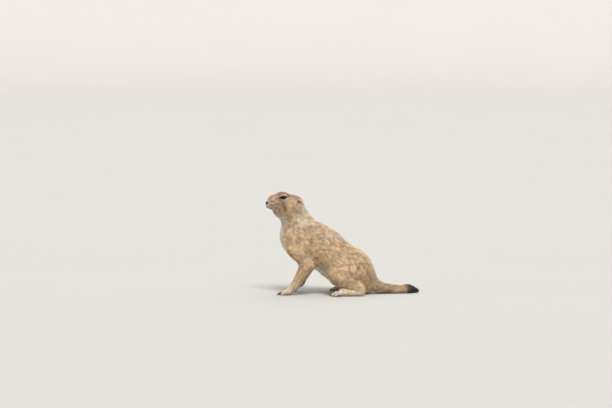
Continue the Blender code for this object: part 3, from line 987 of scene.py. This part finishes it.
def coat_piece(name, skin, locks, faces, spine, material):
    """One piece of the coat, over some of the skin's faces."""
    roots = Roots(skin, skin.fur["density"], faces)
    middle, tip, width, lock, guard = tuft_lines(roots, skin, locks)
    points, normals = tuft_points(roots, middle, tip, width)
    triangles = TUFT_TRIANGLES[None] + TUFT_POINTS * np.arange(roots.count)[:, None, None]
    data = mesh_of_triangles(name, points.reshape(-1, 3), triangles.reshape(-1, 3))
    pale = roots.of(skin.marks["pale"])
    store(data, "shade", tuft_shades(roots, locks, lock, guard, pale).ravel())
    for mark, values in skin.marks.items():
        value = np.clip(roots.of(values) + RANDOM.normal(0, 0.06, roots.count), 0, 1)
        store(data, mark, np.repeat(value, TUFT_POINTS))
    place = np.repeat(unwrapped(roots.points, spine), TUFT_POINTS, axis=0)
    place[:, 0] += np.tile(PATCH_SIDES, roots.count) * PATCH / 2
    place[:, 1] += np.tile(PATCH_HEIGHTS, roots.count) * PATCH
    loops = np.empty(len(data.loops), np.int32)
    data.loops.foreach_get("vertex_index", loops)
    data.uv_layers.new(name="OFBake").data.foreach_set("uv", place[loops].astype(np.float32).ravel())
    placed(name, data, material)
    data.normals_split_custom_set_from_vertices(normals.reshape(-1, 3).astype(np.float32))


def coat_spines():
    """The pieces of the coat, each with the spine that it is unrolled round."""
    head = [turned(on_head(back, 0, up)) for back, up in ((-2, -1), (30, 0), (66, -6))]
    neck = (8, 0, 158), (23, 0, 131), (36, 0, 96)
    trunk = (30, 0, 112), (70, 0, 80), (124, 0, 39), (150, 0, 20)
    tail = (150, 0, 24), (172, 1, 11.5), (198, 4, 7.2), (240, 12, 5)
    foreleg = (36, 26, 100), (30, 28, 82), (47, 31, 55), (26, 26, 18), (15, 26, 6.2), (0, 26, 3)
    hindleg = (120, 26, 56), (100, 38, 38), (137, 41, 14), (106, 43, 6.6), (86, 43, 3)
    spines = {"neck": neck, "tail": tail}
    for side, word in SIDES:
        spines[f"head_{word}"] = head
        spines[f"trunk_{word}"] = trunk
        spines[f"foreleg_{word}"] = [(x + FORELEG_STAGGER * side, y * side, z) for x, y, z in foreleg]
        spines[f"hindleg_{word}"] = [(x, y * side, z) for x, y, z in hindleg]
    return {part: np.array(spine, float) for part, spine in spines.items()}


FURS_OF_PART = {
    "head": ("muzzle", "lid", "crown", "cheek", "ear"),
    "neck": ("throat", "neck"),
    "trunk": ("trunk",),
    "foreleg": ("shoulder", "arm", "forearm"),
    "hindleg": ("thigh", "shank"),
    "tail": ("tail",),
}


def coat_part(mass):
    """Which part of the coat grows on a mass, without its side."""
    for part, furs in FURS_OF_PART.items():
        if mass.fur in furs:
            return part
    return "hindleg" if mass.a[0] > FEET_APART else "foreleg"


def coat_parts_of_faces(skin):
    """The name of the coat's piece that grows on each face of the skin."""
    first = skin.triangles[:, 0]
    part = np.array([coat_part(mass) for mass in BODY])[skin.ruler[first]]
    side = np.where(part == "head", from_nose(skin.points)[first, 1], skin.points[first, 1])
    word = np.where(side < 0, "_left", "_right")
    return np.where(np.isin(part, ("neck", "tail")), part, np.char.add(part, word))


# ---------------- eyes, nose, claws and whiskers

LID_STEPS = 72
LID_MARGIN_RADIUS = 0.3
CORNEA_BULGE = 0.35
NOSE_LEVEL = -0.1
NOSTRIL_INNER, NOSTRIL_OUTER = np.array((-2.6, 1.1, -0.8)), np.array((-1.4, 3.1, 0.3))
NOSTRIL_DEPTH, NOSE_CLEFT_DEPTH = 1.4, 0.45
CLAW_RADIUS, CLAW_TIP_RADIUS = 1.35, 0.22
WHISKER_RADIUS, WHISKER_TIP_RADIUS = 0.1, 0.025
WHISKER_ROWS, WHISKER_COLUMNS = 4, 4


def tube(path, radii, sides=8, reference=(0.13, 0.27, 1), flat=1.0, closed=False):
    """A tapered tube round a path, as points and triangles."""
    path = np.asarray(path, float)
    ahead = np.roll(path, -1, axis=0) - np.roll(path, 1, axis=0) if closed else np.gradient(path, axis=0)
    across = unit(np.cross(ahead, reference))
    up = unit(np.cross(ahead, across))
    angles = 2 * np.pi * np.arange(sides) / sides
    ring = np.cos(angles)[:, None] * across[:, None] * flat + np.sin(angles)[:, None] * up[:, None]
    points = (path[:, None] + ring * np.asarray(radii, float).reshape(-1, 1, 1)).reshape(-1, 3)
    count = len(path)
    rows = np.arange(count if closed else count - 1)[:, None]
    here = np.arange(sides)[None]
    beside = (here + 1) % sides
    after = (rows + 1) % count
    a, b, c, d = rows * sides + here, rows * sides + beside, after * sides + beside, after * sides + here
    triangles = [np.stack([a, b, c], axis=-1).reshape(-1, 3), np.stack([a, c, d], axis=-1).reshape(-1, 3)]
    if not closed:
        start, end, last = len(points), len(points) + 1, (count - 1) * sides
        points = np.vstack([points, path[0], path[-1]])
        here, beside = here[0], beside[0]
        triangles.append(np.stack([np.full(sides, start), beside, here], axis=1))
        triangles.append(np.stack([np.full(sides, end), last + here, last + beside], axis=1))
    return points, np.vstack(triangles)


def joined(name, shapes):
    """One mesh of several shapes, each points and triangles."""
    points, triangles, count = [], [], 0
    for shape_points, shape_triangles in shapes:
        points.append(shape_points)
        triangles.append(shape_triangles + count)
        count += len(shape_points)
    return mesh_of_triangles(name, np.vstack(points), np.vstack(triangles))


def round_mesh(name, centre, radius):
    """A fine ball, which is then shaped point by point."""
    mesh = bmesh.new()
    bmesh.ops.create_icosphere(mesh, subdivisions=5, radius=radius, matrix=Matrix.Translation(centre))
    return finished(mesh, name)


def eyeball(word, eye, material):
    """An eyeball with a bulging cornea, and the iris marked on it."""
    data = round_mesh(f"eyeball_{word}", eye.centre, EYEBALL_RADIUS)
    arm = unit(points_of(data) - eye.centre)
    off_axis = np.degrees(np.arccos(np.clip(arm @ eye.outward, -1, 1)))
    bulge = CORNEA_BULGE * smooth(44, 8, off_axis)
    set_points(data, eye.centre + arm * (EYEBALL_RADIUS + bulge)[:, None])
    store(data, "iris", smooth(48, 42, off_axis) - smooth(26, 22, off_axis))
    placed(f"eyeball_{word}", data, material, [f"eye_{word}"])


def lid_margin(word, eye, material):
    """The dark wet edge of the lids, all round the open almond."""
    forward = np.cos(np.linspace(0, 2 * np.pi, LID_STEPS, endpoint=False)) * EYE_LENGTH / 2
    lid = np.where(np.arange(LID_STEPS) < LID_STEPS // 2, 1, -1)
    path = eye.on_surface(forward, lid * almond(forward), lift=LID_MARGIN_RADIUS)
    shape = tube(path, np.full(LID_STEPS, LID_MARGIN_RADIUS), reference=eye.outward, closed=True)
    placed(f"lid_margin_{word}", joined("lid_margin", [shape]), material)


def nose_pad(material):
    """The small bare nose, with two nostrils and a cleft between them."""
    centre = turned(NOSE_TIP + NOSE_PAD)
    data = round_mesh("nose_pad", centre, 1)
    local = (from_nose(points_of(data)) - NOSE_PAD) * NOSE_PAD_RADII
    local[:, 1] *= 1 + 0.06 * local[:, 2]
    points = turned(NOSE_TIP + NOSE_PAD + local)
    proud = field(points) > NOSE_LEVEL
    points[proud] = settled(points[proud], NOSE_LEVEL, rounds=6)
    local = from_nose(points) - NOSE_PAD
    pits = np.zeros(len(points))
    for side, _ in SIDES:
        gap = segment_gap(local, NOSTRIL_INNER * (1, side, 1), NOSTRIL_OUTER * (1, side, 1))
        pits += NOSTRIL_DEPTH * hump(gap, 0.6)
    cleft = NOSE_CLEFT_DEPTH * hump(local[:, 1], 0.3) * smooth(0.5, -1, local[:, 2])
    inward = unit(centre - points + turned(HEAD_PIVOT + (3, 0, 0)) - turned(HEAD_PIVOT))
    set_points(data, points + inward * (pits + cleft)[:, None])
    placed("nose_pad", data, material, ["nose"])


def claw_shape(bones, droop):
    """One curved claw that narrows to a blunt point."""
    share = np.linspace(0, 1, 10)[:, None]
    arch = np.array((0, 0, 1)) * (4 * share * (1 - share)) * droop
    root = bones.claw_root + 0.35 * (bones.middle - bones.claw_root)
    path = root + share * (bones.claw_tip - (0, 0, 0.4) - root) + arch
    radii = CLAW_RADIUS * (1 - share[:, 0] ** 1.6) + CLAW_TIP_RADIUS
    return tube(path, radii, sides=10, reference=(0, 0, 1), flat=0.7)


def claws(material):
    for side, word in SIDES:
        for feet, digits, droop in (("fore", forepaw_digits, 1.0), ("hind", hindfoot_digits, 0.7)):
            shapes = [claw_shape(bones, droop) for bones in digits(side)]
            placed(f"claws_{feet}_{word}", joined("claws", shapes), material)


def whisker_shape(side, row, column):
    """One whisker: out from its pad, then sweeping back and down."""
    root = np.array([turned(on_head(5.5 + 2.4 * column, (6.5 + 1.1 * column) * side, 0.5 - 1.9 * row))])
    root = settled(root, -1.0, rounds=4)[0]
    length = 15 + 6.0 * column + 1.5 * row + RANDOM.uniform(-2, 2)
    out = TURN @ unit((0.25 + 0.22 * column, side, 0.1 - 0.2 * row) + RANDOM.normal(0, 0.06, 3))
    sweep = TURN @ unit((1.0, 0.1 * side, -0.25 - 0.15 * row))
    share = np.linspace(0, 1, 12)[:, None]
    path = root + out * length * (share - 0.3 * share**2) + sweep * length * 0.55 * share**2
    return tube(path, WHISKER_RADIUS * (1 - share[:, 0]) + WHISKER_TIP_RADIUS, sides=5)


def whiskers(material):
    shapes = [
        whisker_shape(side, row, column)
        for side, _ in SIDES
        for row in range(WHISKER_ROWS)
        for column in range(WHISKER_COLUMNS)
    ]
    placed("whiskers", joined("whiskers", shapes), material)


# ---------------- materials

BUFF = (0.71, 0.49, 0.28)
PALE = (0.95, 0.86, 0.70)
RUSSET = (0.50, 0.265, 0.155)
BROWN = (0.23, 0.135, 0.085)
BLACK = (0.022, 0.016, 0.013)


def feed(tree, sockets, values):
    """Gives inputs a link from a socket, or else a value, by their name or number."""
    for key, value in values.items():
        if isinstance(value, bpy.types.NodeSocket):
            tree.links.new(value, sockets[key])
        else:
            sockets[key].default_value = value


def node(tree, kind, values, **settings):
    """The outputs of a new node with these inputs."""
    made = tree.nodes.new(f"ShaderNode{kind}")
    for key, value in settings.items():
        setattr(made, key, value)
    feed(tree, made.inputs, values)
    return made.outputs


def new_material(name, colour, roughness, **settings):
    """A Principled material, with further settings by socket name."""
    material = bpy.data.materials.new(name)
    material.use_nodes = True
    shader = material.node_tree.nodes["Principled BSDF"]
    shader.inputs["Base Color"].default_value = (*colour, 1)
    shader.inputs["Roughness"].default_value = roughness
    for key, value in settings.items():
        shader.inputs[key.replace("_", " ")].default_value = value
    return material, material.node_tree, shader


def attribute(tree, name):
    return node(tree, "Attribute", {}, attribute_name=name)["Fac"]


def tinted(tree, colour, tint, share):
    """A socket that mixes a tint into a colour by a share."""
    colour, tint = (c if isinstance(c, bpy.types.NodeSocket) else (*c, 1) for c in (colour, tint))
    return node(tree, "Mix", {0: share, 6: colour, 7: tint}, data_type="RGBA")[2]


def scaled(tree, colour, by):
    return node(tree, "VectorMath", {"Vector": colour, "Scale": by}, operation="SCALE")[0]


def noise(tree, size, detail=3.0):
    """A noise with features of this size in millimetres, in the object's own space."""
    place = node(tree, "TexCoord", {})["Object"]
    return node(tree, "TexNoise", {"Scale": 1 / (size * MM), "Detail": detail, "Vector": place})["Fac"]


def ranged(tree, value, low, high):
    """A value from 0 to 1 spread from low to high."""
    return node(tree, "MapRange", {"To Min": low, "To Max": high, "Value": value})["Result"]


def bumped(tree, shader, height, strength, distance):
    """Raises the surface by a height, over this distance in millimetres."""
    values = {"Strength": strength, "Distance": distance * MM, "Height": height}
    feed(tree, shader.inputs, {"Normal": node(tree, "Bump", values)["Normal"]})


def coat_material(name, on_skin=False):
    """The colours of the coat from its markings, scaled along each tuft by its shade, which holds painted
    shade at the roots and on the skin, and mottled by a noise.
    """
    material, tree, shader = new_material(name, BUFF, 0.75, Sheen_Weight=0.15, Sheen_Roughness=0.5)
    colour = BUFF
    for mark, tint in (("pale", PALE), ("russet", RUSSET), ("brown", BROWN), ("black", BLACK)):
        colour = tinted(tree, colour, tint, attribute(tree, mark))
    for size in (4, 16):
        colour = scaled(tree, colour, ranged(tree, noise(tree, size), 0.75, 1.25))
    # The shade: random tone, dark tips, and painted shade at the roots and on the skin.
    colour = scaled(tree, colour, attribute(tree, "shade"))
    feed(tree, shader.inputs, {"Base Color": colour})
    if on_skin:
        bumped(tree, shader, noise(tree, 0.6), strength=0.5, distance=0.4)
    return material


def eye_material():
    """A clear wet gloss over a black pupil and a very dark brown iris."""
    material, tree, shader = new_material("eye_gloss", (0.01, 0.007, 0.006), 0.04, IOR=1.25)
    flecks = ranged(tree, noise(tree, 0.9), 0.5, 1.4)
    iris = scaled(tree, tinted(tree, (0.024, 0.013, 0.008), (0.014, 0.009, 0.006), flecks), flecks)
    colour = tinted(tree, (0.006, 0.005, 0.005), iris, attribute(tree, "iris"))
    feed(tree, shader.inputs, {"Base Color": colour})
    return material


def mottled_material(name, colours, roughness, size, detail=3.0, bump=(), **settings):
    """A material with a plain colour, and over it a dark and a light one mixed by a noise of this size.

    The noise can also be its bump, given as strength and distance.
    """
    plain, dark, light = colours
    material, tree, shader = new_material(name, plain, roughness, **settings)
    grain = noise(tree, size, detail)
    feed(tree, shader.inputs, {"Base Color": tinted(tree, dark, light, grain)})
    if bump:
        bumped(tree, shader, grain, *bump)
    return material


def leather_material():
    """The dark bare skin of nose and lids."""
    colours = (0.012, 0.009, 0.008), (0.006, 0.005, 0.005), (0.022, 0.015, 0.013)
    return mottled_material("bare_skin", colours, 0.42, 0.35, detail=5, bump=(0.6, 0.12), Coat_Weight=0.1)


def claw_material():
    colours = (0.05, 0.035, 0.027), (0.03, 0.021, 0.017), (0.11, 0.08, 0.06)
    return mottled_material("horn", colours, 0.35, 1.3, detail=6, bump=(0.3, 0.08))


def whisker_material():
    colours = (0.03, 0.022, 0.018), (0.02, 0.015, 0.012), (0.06, 0.045, 0.035)
    return mottled_material("whisker", colours, 0.4, 4)


def floor_material():
    colours = (0.55, 0.53, 0.5), (0.54, 0.52, 0.49), (0.56, 0.54, 0.51)
    return mottled_material("pale_floor", colours, 0.9, 400)


# ---------------- the animal

# The skin painted darker, as the shade that falls between the tufts.
SKIN_PAINTED_SHADE = 0.55
FLESH = ["head", "neck", "trunk", "tail", "tail_tip"] + [
    f"{part}_{word}"
    for part in ("ear", "foreleg", "forepaw", "hindleg", "hindfoot")
    for _, word in SIDES
]


def prairie_dog():
    data = skin_mesh()
    skin = Skin(data)
    for mark, values in skin.marks.items():
        store(data, mark, values)
    # The skin's painted shade between the tufts.
    store(data, "shade", np.full(len(skin.points), SKIN_PAINTED_SHADE))
    placed("skin", data, coat_material("skin_colours", on_skin=True), FLESH)
    horn, leather = claw_material(), leather_material()
    gloss = eye_material()
    for eye, (_, word) in zip(EYES, SIDES):
        eyeball(word, eye, gloss)
        lid_margin(word, eye, leather)
    nose_pad(leather)
    claws(horn)
    whiskers(whisker_material())
    locks = Locks(skin)
    grower = coat_parts_of_faces(skin)
    coat = coat_material("coat_colours")
    for part, spine in coat_spines().items():
        coat_piece(f"coat_{part}", skin, locks, grower == part, spine, coat)


# ---------------- the stage

# The middle of the view is a place in the plan. The other lengths are metres, and the lens millimetres.
VIEW_CENTRE = np.array((40.9, 0.0, 160.2))
VIEW_DISTANCE = 6.05
VIEW_ELEVATION = math.radians(5)
LENS = 200
FLOOR_RADIUS, COVE_RADIUS, WALL_HEIGHT = 6.8, 2.0, 4.5
COVE_STEPS, ROUND_STEPS = 12, 96


def stage():
    """A pale floor that curves up into a wall all round, far off."""
    profile = [(0.0, 0.0), (FLOOR_RADIUS, 0.0)]
    for step in range(1, COVE_STEPS + 1):
        angle = math.pi / 2 * step / COVE_STEPS
        profile.append((FLOOR_RADIUS + COVE_RADIUS * math.sin(angle), COVE_RADIUS * (1 - math.cos(angle))))
    profile.append((FLOOR_RADIUS + COVE_RADIUS, WALL_HEIGHT))
    mesh = bmesh.new()
    verts = [mesh.verts.new((radius, 0, height)) for radius, height in profile]
    geom = verts + [mesh.edges.new(pair) for pair in zip(verts, verts[1:])]
    bmesh.ops.spin(mesh, geom=geom, axis=(0, 0, 1), cent=(0, 0, 0), angle=2 * math.pi, steps=ROUND_STEPS)
    bmesh.ops.remove_doubles(mesh, verts=mesh.verts[:], dist=0.0001)
    data = finished(mesh, "floor")
    data.shade_smooth()
    data.materials.append(floor_material())
    linked("floor", data)


def aimed(name, data, back):
    """A light or camera with this direction behind it."""
    made = linked(name, data)
    made.rotation_mode = "QUATERNION"
    made.rotation_quaternion = Vector(back).to_track_quat("Z", "Y")
    return made


def sun(name, towards, strength, softness):
    light = bpy.data.lights.new(name, "SUN")
    light.energy = strength
    light.angle = math.radians(softness)
    aimed(name, light, towards)


def lighting():
    world = bpy.data.worlds.new("studio")
    world.use_nodes = True
    background = world.node_tree.nodes["Background"].inputs
    background["Color"].default_value = (0.98, 0.99, 1.0, 1)
    background["Strength"].default_value = 0.7
    bpy.context.scene.world = world
    sun("key", (0.1, -0.7, 1.0), 2.6, 25)
    sun("fill", (-0.8, -1.0, 0.25), 0.95, 60)
    sun("back", (0.5, 1.0, 0.7), 0.6, 60)


def camera():
    view = bpy.data.cameras.new("camera")
    view.lens = LENS
    back = Vector((0, -math.cos(VIEW_ELEVATION), math.sin(VIEW_ELEVATION)))
    made = aimed("camera", view, back)
    made.location = Vector((VIEW_CENTRE + PLAN_SHIFT) * MM) + back * VIEW_DISTANCE
    bpy.context.scene.camera = made


camera()
stage()
lighting()
bpy.context.scene.view_settings.view_transform = "Standard"
prairie_dog()
